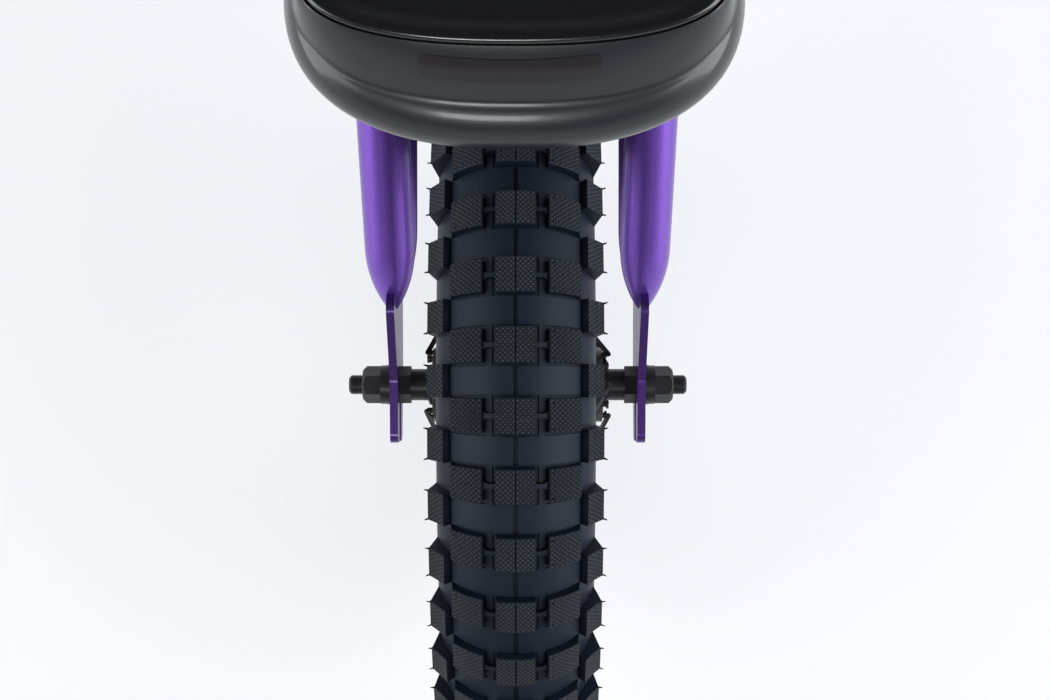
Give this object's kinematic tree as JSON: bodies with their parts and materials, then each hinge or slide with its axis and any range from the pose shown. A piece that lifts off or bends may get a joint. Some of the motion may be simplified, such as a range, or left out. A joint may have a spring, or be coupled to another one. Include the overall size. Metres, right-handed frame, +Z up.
{
  "type": "balance bike",
  "caption": "Child's balance bike in the BMX style: knobby twelve-inch wheels with nutted axles, purple tubular frame and rigid fork, riser handlebar with crossbar, black railed saddle.",
  "frame": {"origin": "on the floor, midway between the two axles, in the bike's middle plane", "axes": "+X forward, +Y to the rider's left, +Z up"},
  "size_m": [0.92, 0.4424, 0.6088],
  "materials": {
    "ball_steel": "polished",
    "bearing_steel": "ground",
    "black_paint": "satin",
    "black_steel": "black oxide",
    "frame_paint": "satin metallic",
    "grip_rubber": "matte",
    "saddle_cover": "smooth, low gloss",
    "saddle_shell": "satin",
    "tube_rubber": "matte",
    "tyre": "matte with satin block tops"
  },
  "bodies": {
    "frame": {"head_tube": "frame_paint", "top_tube": "frame_paint", "down_tube": "frame_paint", "seat_tube": "frame_paint", "seat_stay_left": "frame_paint", "seat_stay_right": "frame_paint", "chain_stay_left": "frame_paint", "chain_stay_right": "frame_paint", "rear_dropouts": "frame_paint", "headset_cups": "black_paint", "seat_clamp": "black_paint", "seat_clamp_bolt": "black_steel", "rear_axle": "black_steel", "rear_hub_cones": "black_steel", "rear_axle_washers": "black_steel", "rear_axle_nuts": "black_steel"},
    "steering": {"fork_steerer": "frame_paint", "fork_leg_left": "frame_paint", "fork_leg_right": "frame_paint", "fork_dropouts": "frame_paint", "crown_race": "black_steel", "headset_bearings": "bearing_steel", "headset_cover": "black_paint", "headset_spacer": "black_paint", "stem_body": "black_paint", "stem_faceplate": "black_paint", "stem_bolts": "black_steel", "top_cap": "black_paint", "top_cap_bolt": "black_steel", "front_axle": "black_steel", "front_hub_cones": "black_steel", "front_axle_washers": "black_steel", "front_axle_nuts": "black_steel"},
    "handlebar": {"handlebar": "black_paint", "handlebar_crossbar": "black_paint", "grip_left": "grip_rubber", "grip_right": "grip_rubber"},
    "front_wheel": {"front_tyre": "tyre", "front_inner_tube": "tube_rubber", "front_rim": "black_paint", "front_spokes": "black_steel", "front_spoke_nipples": "black_steel", "front_hub_shell": "black_paint", "front_hub_balls": "ball_steel", "front_valve": "black_steel"},
    "rear_wheel": {"rear_tyre": "tyre", "rear_inner_tube": "tube_rubber", "rear_rim": "black_paint", "rear_spokes": "black_steel", "rear_spoke_nipples": "black_steel", "rear_hub_shell": "black_paint", "rear_hub_balls": "ball_steel", "rear_valve": "black_steel"},
    "seat_post": {"seat_post": "black_paint", "saddle_clamp_band": "black_paint", "saddle_clamp_bolt": "black_steel"},
    "saddle_clamp": {"saddle_clamp_plates": "black_paint"},
    "saddle": {"saddle_rails": "black_steel", "saddle_base": "saddle_shell", "saddle_pad": "saddle_cover"}
  },
  "joints": [
    {"name": "steering_turn", "type": "hinge", "parent": "frame", "child": "steering", "pos_m": [0.17976, 0, 0.39974], "axis": [-0.342, 0, 0.9397], "continuous": true},
    {"name": "rear_wheel_spin", "type": "hinge", "parent": "frame", "child": "rear_wheel", "pos_m": [-0.295, 0, 0.165], "axis": [0, 1, 0], "continuous": true},
    {"name": "front_wheel_spin", "type": "hinge", "parent": "steering", "child": "front_wheel", "pos_m": [0.295, 0, 0.165], "axis": [0, 1, 0], "continuous": true},
    {"name": "handlebar_roll", "type": "hinge", "parent": "steering", "child": "handlebar", "pos_m": [0.18158, 0, 0.48831], "axis": [0, 1, 0], "range_deg": [-20, 20]},
    {"name": "seat_height", "type": "slide", "parent": "frame", "child": "seat_post", "axis": [-0.309, 0, 0.9511], "range_m": [-0.01, 0.04]},
    {"name": "saddle_tilt", "type": "hinge", "parent": "seat_post", "child": "saddle_clamp", "pos_m": [-0.11519, 0, 0.334], "axis": [0, 1, 0], "range_deg": [-6, 10]},
    {"name": "saddle_fore_aft", "type": "slide", "parent": "saddle_clamp", "child": "saddle", "axis": [1, 0, 0], "range_m": [-0.012, 0.012]}
  ]
}
